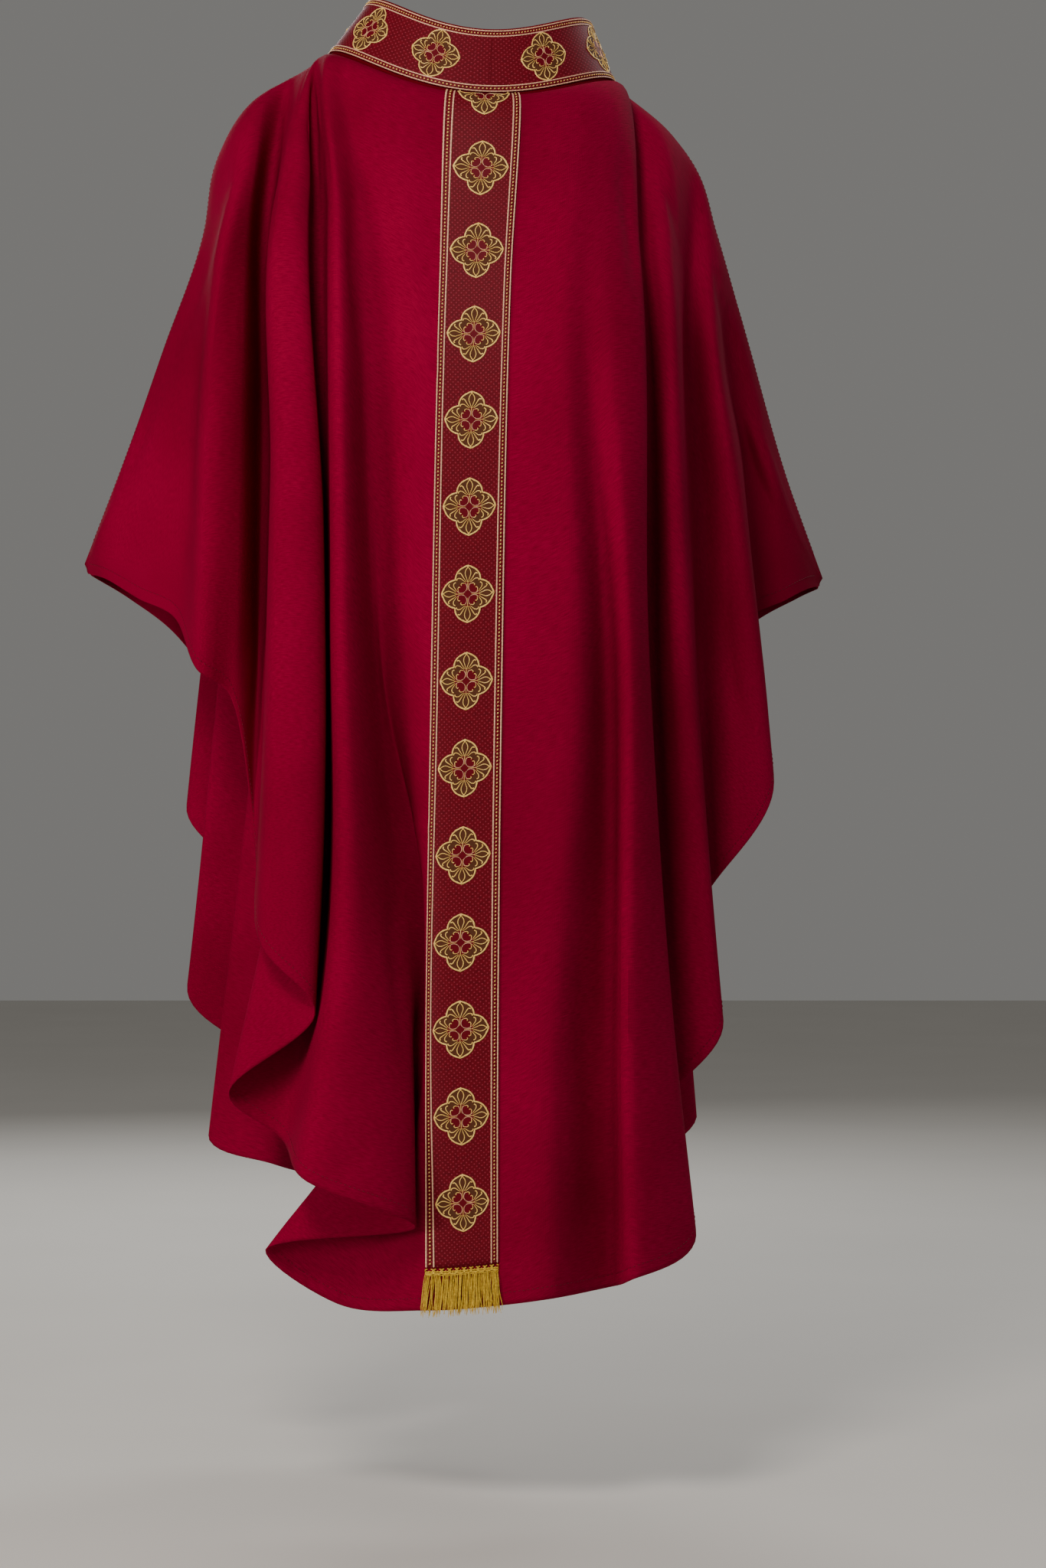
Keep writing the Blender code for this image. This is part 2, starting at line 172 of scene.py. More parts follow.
def ringPlace(ring, turn):
    # point of a neck ring, turn in radians from the centre back towards the left
    side, back = math.sin(turn), math.cos(turn)
    if ring is baseRing:
        height = -41 + 15.5 * side + 58.5 * side ** 2 - 65 * ((1 - back) / 2) ** 2
    else:
        height = 6 + 30 * back + 11 * side + 63 * side ** 2
    return np.array([ring.midX + ring.halfX * side, ring.midY + ring.halfY * back, height])


def ringOutward(turn):
    out = np.array([math.sin(turn) / baseRing.halfX, math.cos(turn) / baseRing.halfY, 0.0])
    return out / np.linalg.norm(out)


def cubic(first, second, slopeFirst, slopeSecond, q):
    return (first * (1 + 2 * q) * (1 - q) ** 2 + slopeFirst * q * (1 - q) ** 2
            + second * q * q * (3 - 2 * q) - slopeSecond * q * q * (1 - q))


def smoothThrough(knots, values, where):
    slopes = np.gradient(values, knots, axis=0)
    i = int(np.clip(np.searchsorted(knots, where) - 1, 0, len(knots) - 2))
    span = knots[i + 1] - knots[i]
    return cubic(values[i], values[i + 1], slopes[i] * span, slopes[i + 1] * span,
                 (where - knots[i]) / span)


def upperEdge(top, facing):
    # place on a panel's upper edge and the level direction in which its cloth sets off
    reach = abs(top)
    side = math.copysign(1.0, top)
    if reach <= 1:
        turn = math.radians(90 * top) if facing > 0 else math.radians(180 - 90 * top)
        place = ringPlace(baseRing, turn) + ringOutward(turn) * (cloth["neckWall"] / 2
                                                                + cloth["neckGap"])
        slant = math.radians(20 * reach + 60 * reach * (1 - reach))
    else:
        seam = seamLeft if top > 0 else seamRight
        along = np.r_[0, np.cumsum(np.linalg.norm(np.diff(seam, axis=0), axis=1))]
        place = smoothThrough(along, seam, (reach - 1) * along[-1])
        slant = math.radians(20 * max(0.0, 1 - (reach - 1) / 0.3))
    setOff = np.array([side * math.sin(slant), facing * math.cos(slant), 0.0])
    if reach >= 1:
        place = place + setOff * (cloth["seamGap"] / 2 + 0.5 * math.sin(slant))
    return place, setOff


def foldCurve(fold, heights, facing, rows):
    # points down one fold line, row 0 at the upper edge and 1 at the hem
    edge, setOff = upperEdge(fold[0], facing)
    places = [edge + setOff * cloth["seamStrip"]]
    for k, height in enumerate(heights):
        z = edge[2] + height * (fold[-1] - edge[2])
        places.append((fold[1 + 2 * k], fold[2 + 2 * k], z))
    places = np.array(places + [fold[-3:]], float)
    knots = np.r_[0.0, heights, 1.0]
    slopes = np.gradient(places, knots, axis=0)
    level = np.linalg.norm((places[1] - places[0])[:2])
    slopes[0] = setOff * 1.4 * level / knots[1]
    points = []
    for row in rows:
        i = int(np.clip(np.searchsorted(knots, row) - 1, 0, len(knots) - 2))
        span = knots[i + 1] - knots[i]
        points.append(cubic(places[i], places[i + 1], slopes[i] * span, slopes[i + 1] * span,
                            (row - knots[i]) / span))
    return np.array(points)


def turnSlope(arriving, leaving, gapBefore, gapAfter, gapHere):
    # slope across a fold line, long enough seen from above for a turned fold to be round
    slope = arriving / gapBefore * gapAfter + leaving / gapAfter * gapBefore
    slope /= gapBefore + gapAfter
    before, after = arriving[:, :2], leaving[:, :2]
    lengths = np.linalg.norm(before, axis=1) * np.linalg.norm(after, axis=1) + 0.001
    turn = np.clip(-(before * after).sum(axis=1) / lengths, 0, 1)
    reach = np.linalg.norm(slope[:, :2], axis=1) * gapHere[:, 0] + 0.001
    slope[:, :2] *= np.maximum(1 + turn, cloth["foldReach"] * turn / reach)[:, None]
    return slope


def panelPoints(folds, heights, facing):
    # fine grid [row][column] of a panel's middle surface, from the left tip to the right
    rows = np.r_[0.0, 1 - (1 - np.linspace(0, 1, cloth["rows"])[1:]) ** 1.12]
    curves = np.array([foldCurve(fold, heights, facing, rows) for fold in folds])
    tops = [fold[0] for fold in folds]
    fade = np.clip(1 - rows / 0.2, 0, 1)[:, None] ** 2
    columns, starts, acrossTops = [], [], []
    for i in range(len(folds) - 1):
        width = np.linalg.norm(curves[i + 1] - curves[i], axis=1).max()
        steps = max(4, round(width / cloth["columnWidth"]))
        starts.append(len(columns))
        before, left = curves[max(i - 1, 0)], curves[i]
        right, after = curves[i + 1], curves[min(i + 2, len(folds) - 1)]
        gaps = [np.sqrt(np.linalg.norm(b - a, axis=1))[:, None] + 0.5
                for a, b in ((before, left), (left, right), (right, after))]
        slopeLeft = slopeRight = (right - left) / gaps[1]
        if i > 0:
            slopeLeft = turnSlope(left - before, right - left, gaps[0], gaps[1], gaps[1])
        if i + 2 < len(folds):
            slopeRight = turnSlope(right - left, after - right, gaps[1], gaps[2], gaps[1])
        for step in range(steps + (i + 2 == len(folds))):
            q = step / steps
            points = cubic(left, right, slopeLeft * gaps[1], slopeRight * gaps[1], q)
            top = tops[i] + q * (tops[i + 1] - tops[i])
            edge, setOff = upperEdge(top, facing)
            points = points + (edge + setOff * cloth["seamStrip"] - points[0]) * fade
            columns.append(np.vstack([edge, points]))
            acrossTops.append(top)
    return np.array(columns).transpose(1, 0, 2), starts, np.r_[0.0, rows], np.array(acrossTops)


def gridNormals(points):
    normals = np.cross(np.gradient(points, axis=1), np.gradient(points, axis=0))
    normals /= np.linalg.norm(normals, axis=2)[:, :, None] + 1e-9
    outward = ((points - cloth["inside"]) * normals).sum()
    return normals if outward > 0 else -normals


def gridLengths(points, centre):
    # cloth lengths across and down the grid, for the weave
    across = np.cumsum(np.linalg.norm(np.diff(points, axis=1, prepend=points[:, :1]), axis=2), axis=1)
    down = np.cumsum(np.linalg.norm(np.diff(points, axis=0, prepend=points[:1]), axis=2), axis=0)
    return across - across[:, centre:centre + 1], down


def gridObject(name, points, lengths, material, inside=None):
    # open sheet through a grid of points, with a UV map in metres of cloth
    rows, columns = points.shape[:2]
    bm = bmesh.new()
    bmesh.ops.create_grid(bm, x_segments=columns - 1, y_segments=rows - 1, size=1.0)
    weave = bm.loops.layers.uv.new("weave")
    place = {}
    for vert in bm.verts:
        column = round((vert.co.x + 1) / 2 * (columns - 1))
        row = round((vert.co.y + 1) / 2 * (rows - 1))
        place[vert] = (row, column)
        vert.co = points[row][column] * mm
    across, down = lengths
    for face in bm.faces:
        for loop in face.loops:
            row, column = place[loop.vert]
            loop[weave].uv = (across[row][column] * mm, -down[row][column] * mm)
    bmesh.ops.remove_doubles(bm, verts=bm.verts, dist=0.001 * mm)
    bmesh.ops.recalc_face_normals(bm, faces=bm.faces)
    start = Vector((cloth["inside"] if inside is None else inside) * mm)
    outward = sum(face.normal.dot(face.calc_center_median() - start) * face.calc_area()
                  for face in bm.faces)
    if outward < 0:
        bmesh.ops.reverse_faces(bm, faces=bm.faces)
    return bmObject(name, bm, material)


def bmObject(name, bm, material):
    mesh = bpy.data.meshes.new(name)
    bm.to_mesh(mesh)
    bm.free()
    mesh.materials.append(material)
    mesh.shade_smooth()
    mesh.set_sharp_from_angle(angle=math.radians(50))
    piece = bpy.data.objects.new(name, mesh)
    bpy.context.collection.objects.link(piece)
    return piece


def addWall(piece, wall):
    solid = piece.modifiers.new("wall", "SOLIDIFY")
    solid.thickness = wall * mm
    solid.offset = 0.0


def finishPiece(piece, slotName, *nodes):
    if nodes:
        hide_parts(*nodes)
    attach(piece, "root")
    return piece


# Materials

def clothMaterial(name, dark, light):
    # wool and silk in plain weave, dyed crimson: dull and even, faint slubs; the threads are
    # 0.5 mm in reality and drawn 2.2 mm so that they show
    material, tree, shader = newMaterial(name, {"Roughness": 0.8, "IOR": 1.4,
                                                "Specular IOR Level": 0.06})
    weave = addNode(tree, "ShaderNodeUVMap", uv_map="weave").outputs["UV"]
    shape = addNode(tree, "ShaderNodeTexCoord").outputs["Object"]
    warp = addNode(tree, "ShaderNodeTexWave", {"Vector": weave, "Scale": 143.0, "Distortion": 0.8,
                   "Detail": 1.0, "Detail Scale": 0.5}, bands_direction="X").outputs["Fac"]
    weft = addNode(tree, "ShaderNodeTexWave", {"Vector": weave, "Scale": 143.0, "Distortion": 0.8,
                   "Detail": 1.0, "Detail Scale": 0.5}, bands_direction="Y").outputs["Fac"]
    crossed = addNode(tree, "ShaderNodeMath", {0: warp, 1: weft}, operation="MULTIPLY").outputs[0]
    stretched = addNode(tree, "ShaderNodeMapping", {"Vector": weave, "Scale": (90.0, 900.0, 1.0)})
    slub = addNode(tree, "ShaderNodeTexNoise", {"Vector": stretched.outputs[0], "Scale": 1.0,
                   "Detail": 2.0}).outputs["Fac"]
    cloud = addNode(tree, "ShaderNodeTexNoise", {"Vector": shape, "Scale": 4.0,
                    "Detail": 3.0}).outputs["Fac"]
    share = addNode(tree, "ShaderNodeMath", {0: slub, 1: cloud}, operation="MULTIPLY").outputs[0]
    share = addNode(tree, "ShaderNodeMath", {0: share, 1: 2.6}, operation="MULTIPLY")
    share.use_clamp = True
    tree.links.new(mixColours(tree, share.outputs[0], linear(dark), linear(light)),
                   shader.inputs["Base Color"])
    height = addNode(tree, "ShaderNodeMath", {0: crossed, 1: slub}, operation="ADD").outputs[0]
    bump = addNode(tree, "ShaderNodeBump", {"Height": height, "Strength": 0.25,
                                            "Distance": 0.0004})
    tree.links.new(bump.outputs[0], shader.inputs["Normal"])
    return material


def galloonMaterial():
    # silk satin galloon in deep red with fine rose dashes on a diagonal lattice, 3.7 mm apart
    material, tree, shader = newMaterial("red silk galloon", {"Roughness": 0.55, "IOR": 1.5,
                                                              "Specular IOR Level": 0.1})
    weave = addNode(tree, "ShaderNodeUVMap", uv_map="weave").outputs["UV"]
    turned = addNode(tree, "ShaderNodeMapping", {"Vector": weave,
                     "Rotation": (0, 0, math.radians(42))}).outputs[0]
    first = addNode(tree, "ShaderNodeTexWave", {"Vector": turned, "Scale": 85.0,
                    "Distortion": 0.6}, bands_direction="X").outputs["Fac"]
    second = addNode(tree, "ShaderNodeTexWave", {"Vector": turned, "Scale": 85.0,
                     "Distortion": 0.6}, bands_direction="Y").outputs["Fac"]
    both = addNode(tree, "ShaderNodeMath", {0: first, 1: second}, operation="MULTIPLY").outputs[0]
    dash = addNode(tree, "ShaderNodeMapRange", {"Value": both, "From Min": 0.5,
                                                "From Max": 0.95, "To Max": 0.55})
    grain = addNode(tree, "ShaderNodeTexNoise", {"Vector": weave, "Scale": 260.0,
                    "Detail": 2.0}).outputs["Fac"]
    red = mixColours(tree, grain, linear("#4c0210"), linear("#720419"))
    tree.links.new(mixColours(tree, dash.outputs[0], red, linear("#a43a4c")),
                   shader.inputs["Base Color"])
    bump = addNode(tree, "ShaderNodeBump", {"Height": both, "Strength": 0.3, "Distance": 0.0003})
    tree.links.new(bump.outputs[0], shader.inputs["Normal"])
    return material


def threadMaterial(name, dark, light, metallic, roughness, grain=900.0):
    # gilt thread wound on a silk core: a soft metal gleam broken by the winding, 1 mm coarse
    material, tree, shader = newMaterial(name, {"Roughness": roughness, "Metallic": metallic,
                                                "Specular IOR Level": 0.3})
    shape = addNode(tree, "ShaderNodeTexCoord").outputs["Object"]
    winding = addNode(tree, "ShaderNodeTexNoise", {"Vector": shape, "Scale": grain,
                      "Detail": 1.0}).outputs["Fac"]
    tree.links.new(mixColours(tree, winding, linear(dark), linear(light)),
                   shader.inputs["Base Color"])
    bump = addNode(tree, "ShaderNodeBump", {"Height": winding, "Strength": 0.4,
                                            "Distance": 0.0003})
    tree.links.new(bump.outputs[0], shader.inputs["Normal"])
    return material


crimson = clothMaterial("crimson wool and silk", "#5e0016", "#8c0030")
neckCloth = clothMaterial("crimson cotton buckram", "#57020f", "#7a0a1c")   # dull and stiff
galloonRed = galloonMaterial()
yellowGold = threadMaterial("yellow gilt thread", "#dc9c3c", "#ffe48a", 0.05, 0.35)
roseGold = threadMaterial("rose gilt cord", "#d08a68", "#ffd2ae", 0.05, 0.4)
fringeGold = threadMaterial("yellow gilt fringe", "#a06c08", "#ffe052", 0.1, 0.35, 420.0)
sewingThread = threadMaterial("crimson sewing thread", "#4c0010", "#740020", 0.0, 0.6)
# a dark plate laid under the gold lobes: painted shade that falls between the gilt threads
threadShadePlate = threadMaterial("painted shade between gilt threads", "#3c1406", "#5e3212", 0.0, 0.8)

# Camera, floor and light

view = {"x": -0.050, "z": -0.767, "distance": 4.0, "lens": 84.71, "floorZ": -1.53}   # metres
lamps = [
    # name, place, aim, size in metres, watts, colour
    ("key", (0.7, 2.4, 1.4), (0.0, 0.1, -0.2), 0.8, 61, "#fff6ee"),
    ("fill", (-2.4, 2.8, 0.6), (0.0, 0.1, -0.6), 1.8, 12, "#eef2ff"),
    ("kicker", (2.2, 1.6, -0.8), (0.15, 0.15, -1.1), 0.7, 30, "#fff6ee"),
    ("rim", (-1.6, -1.6, 1.6), (0.0, 0.0, -0.5), 1.2, 26, "#ffffff"),
    ("frontFill", (0.8, -3.4, 1.0), (0.0, -0.1, -0.6), 1.6, 55, "#ffffff"),
]


def setStage():
    camera = bpy.data.objects.new("camera", bpy.data.cameras.new("camera"))
    bpy.context.collection.objects.link(camera)
    camera.location = (view["x"], view["distance"], view["z"])
    camera.rotation_euler = (math.pi / 2, 0, math.pi)
    camera.data.lens = view["lens"]
    camera.data.sensor_width = 36
    bpy.context.scene.camera = camera
    for name, place, aim, size, watts, colour in lamps:
        lamp = bpy.data.objects.new(name, bpy.data.lights.new(name, "AREA"))
        bpy.context.collection.objects.link(lamp)
        lamp.data.size = size
        lamp.data.energy = watts
        lamp.data.color = linear(colour)[:3]
        lamp.location = place
        lamp.rotation_euler = (Vector(aim) - Vector(place)).to_track_quat("-Z", "Y").to_euler()
    world = bpy.data.worlds.new("studio")
    world.use_nodes = True
    world.node_tree.nodes["Background"].inputs["Color"].default_value = linear("#dcdad6")
    world.node_tree.nodes["Background"].inputs["Strength"].default_value = 0.26
    bpy.context.scene.world = world
    floorMaterial, tree, shader = newMaterial("pale studio floor", {"Roughness": 0.85})
    shape = addNode(tree, "ShaderNodeTexCoord").outputs["Object"]
    spots = addNode(tree, "ShaderNodeTexNoise", {"Vector": shape, "Scale": 3.0}).outputs["Fac"]
    tree.links.new(mixColours(tree, spots, linear("#cfccc6"), linear("#d6d3cd")),
                   shader.inputs["Base Color"])
    bm = bmesh.new()
    bmesh.ops.create_grid(bm, x_segments=1, y_segments=1, size=9.0,
                          matrix=Matrix.Translation((0, 0, view["floorZ"])))
    bmObject("studioFloor", bm, floorMaterial)


setStage()
print("stage set")

# Cloth panels

backGrid, backStarts, backRows, backTops = panelPoints(backFolds, backHeights, 1)
frontGrid, frontStarts, frontRows, frontTops = panelPoints(frontFolds, frontHeights, -1)
backMiddle = int(np.abs(backTops).argmin())
frontMiddle = int(np.abs(frontTops).argmin())

# Creases as seen from behind, and from the front: depth, width, then (x, z) places along.
# Plus is a ridge, minus a trough
backCreases = [
    (3.0, 6, ((74, -820), (58, -811), (43, -815))),         # puckers beside the band
    (-2.5, 6, ((70, -807), (56, -800), (44, -803))),
    (2.5, 7, ((58, -316), (49, -330), (42, -348))),
    (-4.5, 9, ((176, -58), (166, -95), (158, -138))),       # from the neck seam, left
    (-5.0, 12, ((212, -84), (219, -150), (224, -222))),
    (3.5, 11, ((186, -70), (186, -130), (194, -205))),
    (-3.5, 13, ((118, -88), (122, -190), (112, -330))),
    (-5.5, 12, ((-158, -104), (-165, -170), (-173, -262))),   # from the neck seam, right
    (-4.5, 10, ((-194, -98), (-212, -150), (-232, -214))),
    (3.0, 13, ((-176, -88), (-190, -170), (-205, -280))),
    (4.0, 22, ((258, -123), (292, -230), (334, -356))),     # along the wings
    (-4.0, 16, ((238, -128), (262, -260), (296, -404))),
    (3.0, 18, ((300, -330), (330, -420), (352, -505))),
    (-3.0, 14, ((352, -300), (374, -380), (398, -470))),
    (-5.0, 14, ((-252, -164), (-278, -280), (-302, -404))),
    (4.0, 16, ((-282, -251), (-312, -370), (-338, -480))),
    (-3.0, 13, ((-318, -290), (-342, -380), (-360, -460))),
    (-4.0, 17, ((-108, -940), (-120, -1060), (-120, -1268))),  # long flute right of the band
    (4.0, 9, ((-150, -760), (-156, -980), (-158, -1262))),
    (-3.0, 20, ((-72, -150), (-84, -420), (-70, -760))),
    (-4.0, 15, ((90, -420), (82, -640), (72, -860))),       # soft valley left of the band
    (-4.5, 12, ((84, -880), (76, -980), (66, -1080))),
    (3.5, 14, ((-196, -380), (-214, -620), (-228, -860))),
    (-3.0, 10, ((-262, -560), (-272, -650), (-290, -720))),
    (-3.0, 11, ((-214, -960), (-226, -1060), (-236, -1130))),
    (3.0, 13, ((236, -560), (236, -700), (240, -820))),
    (-3.5, 10, ((206, -780), (200, -860), (204, -930))),
    (3.0, 14, ((190, -1010), (206, -1060), (226, -1090))),
    (-3.0, 13, ((110, -1130), (140, -1170), (178, -1190))),
]
frontCreases = [
    (-5.0, 14, ((-120, -130), (-138, -300), (-148, -520))),
    (4.0, 15, ((-92, -170), (-100, -380), (-104, -640))),
    (-4.0, 18, ((-40, -190), (-52, -430), (-58, -900))),
    (-6.0, 16, ((58, -200), (66, -520), (72, -1120))),
    (3.5, 17, ((8, -260), (6, -620), (10, -1010))),
    (5.0, 15, ((106, -150), (116, -420), (120, -700))),
    (-4.5, 13, ((150, -120), (172, -260), (190, -420))),
    (-3.5, 12, ((200, -90), (226, -220), (262, -350))),
    (4.0, 16, ((246, -180), (286, -320), (330, -440))),
    (-3.0, 14, ((318, -300), (352, -400), (384, -480))),
    (-4.5, 15, ((-196, -130), (-226, -260), (-256, -400))),
    (3.5, 15, ((-258, -260), (-296, -370), (-326, -470))),
    (-3.0, 12, ((-222, -90), (-262, -210), (-290, -330))),
    (4.0, 14, ((-120, -760), (-114, -960), (-116, -1180))),
    (-4.0, 15, ((-58, -860), (-60, -1020), (-56, -1220))),
    (3.0, 13, ((196, -480), (204, -620), (212, -760))),
]


def smoothLine(knots, count):
    knots = np.array(knots, float)
    along = np.r_[0, np.cumsum(np.linalg.norm(np.diff(knots, axis=0), axis=1))]
    return np.array([smoothThrough(along, knots, where)
                     for where in np.linspace(0, along[-1] - 1e-6, count)])


def creased(grid, creases, facing):
    # the grid with each crease pressed into its outermost layer, fading to both ends
    normals = gridNormals(grid)
    flat, outward = grid.reshape(-1, 3), normals.reshape(-1, 3)
    shift = np.zeros(len(flat))
    for depth, width, knots in creases:
        line = []
        for x, z in smoothLine(knots, 30):
            away = np.hypot(flat[:, 0] - x, flat[:, 2] - z)
            near = np.where(away < max(9.0, away.min() + 1))[0]
            line.append((x, flat[near, 1][np.argmax(flat[near, 1] * facing)], z))
        distances = np.linalg.norm(flat[:, None] - np.array(line)[None], axis=2)
        share = distances.argmin(axis=1) / (len(line) - 1)
        fade = np.sin(np.pi * np.clip(share * 0.96 + 0.02, 0, 1)) ** 0.7
        shift += depth * fade * np.exp(-(distances.min(axis=1) / width) ** 2)
    shift *= np.clip(outward[:, 1] * facing * 3, 0, 1)
    shift = shift.reshape(grid.shape[:2])
    shift[:2] = 0
    return grid + normals * shift[:, :, None]


backGrid = creased(backGrid, backCreases, 1)
frontGrid = creased(frontGrid, frontCreases, -1)
backNormals = gridNormals(backGrid)
frontNormals = gridNormals(frontGrid)

backCloth = gridObject("backCloth", backGrid, gridLengths(backGrid, backMiddle), crimson)
addWall(backCloth, cloth["wall"])
finishPiece(backCloth, "cloth", "back_panel")
frontCloth = gridObject("frontCloth", frontGrid, gridLengths(frontGrid, frontMiddle), crimson)
addWall(frontCloth, cloth["wall"])
finishPiece(frontCloth, "cloth", "front_panel")
print("panels", backGrid.shape, frontGrid.shape)

# Neckband: stiffened cloth with the galloon round it

neckband = {"columns": 180, "rows": 14, "lift": (0.05, 0.97), "girth": 720.0,
            "inside": np.array((0.0, -25.0, 10.0))}


def neckPlace(turn, lift, out):
    low, high = ringPlace(baseRing, turn), ringPlace(topRing, turn)
    ahead = ringPlace(baseRing, turn - 0.01) - ringPlace(baseRing, turn + 0.01)
    normal = np.cross(high - low, ahead)
    normal /= np.linalg.norm(normal) * np.sign(np.dot(normal, ringOutward(turn)))
    return low + (high - low) * lift + normal * out


def neckSheet(name, liftFrom, liftTo, out, material, wall, slotName, node):
    turns = -2 * math.pi * np.arange(neckband["columns"] + 1) / neckband["columns"]
    lifts = np.linspace(liftFrom, liftTo, neckband["rows"] + 1)
    points = np.array([[neckPlace(turn, lift, out) for turn in turns] for lift in lifts])
    across = np.tile(-turns / (2 * math.pi) * neckband["girth"], (len(lifts), 1))
    down = np.tile(-80 * lifts[:, None], (1, len(turns)))
    piece = gridObject(name, points, (across, down), material, neckband["inside"])
    addWall(piece, wall)
    return finishPiece(piece, slotName, node)


neckLining = neckSheet("neckbandCloth", 0.0, 1.0, 0.0, neckCloth, cloth["neckWall"],
                       "neckband_cloth", "neckband")
neckGalloon = neckSheet("neckbandGalloon", *neckband["lift"],
                        cloth["neckWall"] / 2 + cloth["seamGap"] + cloth["galloonWall"] / 2,
                        galloonRed, cloth["galloonWall"], "galloon", "neckband_galloon")
print("neckband made")

# Galloon down the back. Its own measures: across from the centre line, towards the
# wearer's right, down from the neck, and lift above the cloth

band = {"half": 37.5, "end": 0.965, "acrossSteps": 16, "downStep": 6.0}
bandColumns = slice(backStarts[bandLeft], backStarts[bandRight] + 1)
bandGrid = backGrid[1:, bandColumns]
bandNormals = backNormals[1:, bandColumns]
bandRows = backRows[1:]
bandMiddle = bandGrid[:, bandGrid.shape[1] // 2]
bandDown = np.r_[0, np.cumsum(np.linalg.norm(np.diff(bandMiddle, axis=0), axis=1))]
bandLength = float(np.interp(band["end"], bandRows, bandDown))
bandAcross = np.r_[0, np.cumsum(np.linalg.norm(np.diff(bandGrid, axis=1), axis=2).mean(axis=0))]
bandAcross = (bandAcross / bandAcross[-1] * 2 - 1) * band["half"]


def onBand(across, down, lift):
    across, down, lift = (np.asarray(value, float) for value in (across, down, lift))
    row = np.clip(np.interp(down, bandDown, np.arange(len(bandDown))), 0, len(bandDown) - 1.001)
    column = np.interp(across, bandAcross, np.arange(len(bandAcross)))
    i, j = row.astype(int), np.clip(column, 0, bandGrid.shape[1] - 1.001).astype(int)
    p, q = (row - i)[..., None], (column - j)[..., None]

    def blended(grid):
        return ((grid[i, j] * (1 - q) + grid[i, j + 1] * q) * (1 - p)
                + (grid[i + 1, j] * (1 - q) + grid[i + 1, j + 1] * q) * p)

    normal = blended(bandNormals)
    normal /= np.linalg.norm(normal, axis=-1)[..., None]
    return blended(bandGrid) + normal * (cloth["wall"] / 2 + lift)[..., None]


downs = np.linspace(0, bandLength, round(bandLength / band["downStep"]) + 1)
acrosses = np.linspace(-band["half"], band["half"], band["acrossSteps"] + 1)
acrossGrid, downGrid = np.meshgrid(acrosses, downs)
galloonLift = cloth["seamGap"] + cloth["galloonWall"] / 2
backGalloon = gridObject("backGalloon",
                         onBand(acrossGrid, downGrid, np.full(acrossGrid.shape, galloonLift)),
                         (acrossGrid, downGrid), galloonRed)
addWall(backGalloon, cloth["galloonWall"])
finishPiece(backGalloon, "galloon", "back_galloon")
print("back galloon, %.0f mm long" % bandLength)

# Ornament is drawn flat, x across, y down and z lift in mm, and then laid on its galloon

goldWork = {
    "cordWidth": 1.5, "cordLift": 1.1, "cordStep": 1.3,     # twisted border cords
    "cords": (36.5, 30.0), "dots": 33.2, "dotPitch": 3.8, "dotSize": (0.85, 1.1, 0.8),
    "wide": 27.1, "tall": 29.4, "corner": (13.0, 14.5), "point": 1.2,   # half a quatrefoil
    "pitch": 90.0, "first": 2.0, "count": 14,
}


def sweep(bm, rings, finish=0):
    # closed body through rings of points, each ring closed on itself
    count, around = rings.shape[:2]
    made = bmesh.ops.create_grid(bm, x_segments=around, y_segments=count - 1, size=1.0)["verts"]
    for vert in made:
        column = round((vert.co.x + 1) / 2 * around) % around
        vert.co = rings[round((vert.co.y + 1) / 2 * (count - 1))][column]
    faces = {face for vert in made for face in vert.link_faces}
    for face in faces:
        face.material_index = finish
    bmesh.ops.remove_doubles(bm, verts=made, dist=0.001)


def stroke(bm, line, widths, lift, finish=0, around=6, twist=0.0):
    # raised thread along a flat line; where a width is 0 it ends in a point
    line = np.asarray(line, float)
    widths = np.broadcast_to(widths, len(line)).astype(float)
    ahead = np.gradient(line, axis=0)
    ahead /= np.linalg.norm(ahead, axis=1)[:, None] + 1e-9
    side = np.stack([-ahead[:, 1], ahead[:, 0]], axis=1)
    rings = []
    for i, (place, width) in enumerate(zip(line, widths)):
        ring = []
        for k in range(around):
            angle = 2 * math.pi * k / around
            squeeze = 1 - 0.28 * math.cos(angle - twist * i) ** 2 if twist else 1.0
            offset = side[i] * (width / 2 * squeeze * math.cos(angle))
            up = 0.5 * lift * (1 + squeeze * math.sin(angle)) * min(1.0, width / widths.max() + 0.15)
            ring.append((place[0] + offset[0], place[1] + offset[1], up if width else lift * 0.3))
        rings.append(ring)
    sweep(bm, np.array(rings), finish)


def plate(bm, outline, low, high, finish, rings=4):
    # thin flat body inside a closed outline round the origin
    outline = np.asarray(outline, float)
    middle = outline.mean(axis=0)
    shares = list(np.linspace(0, 1, rings + 1)) + list(np.linspace(1, 0, rings + 1))
    levels = [high] * (rings + 1) + [low] * (rings + 1)
    layers = [np.c_[middle + (outline - middle) * share, np.full(len(outline), level)]
              for share, level in zip(shares, levels)]
    sweep(bm, np.array(layers), finish)


def lobeOutline(reach, corner, count):
    # from one concave corner round the lobe to the next, a circle with a small point
    top = reach - goldWork["point"]
    middle = (top ** 2 - corner[0] ** 2 - corner[1] ** 2) / (2 * (top - corner[0]))
    radius = top - middle
    limit = math.atan2(corner[1], corner[0] - middle)
    points = []
    for angle in np.linspace(-limit, limit, count):
        grown = radius + goldWork["point"] * math.exp(-(angle / 0.2) ** 2)
        points.append((middle + grown * math.cos(angle), grown * math.sin(angle)))
    return np.array(points)


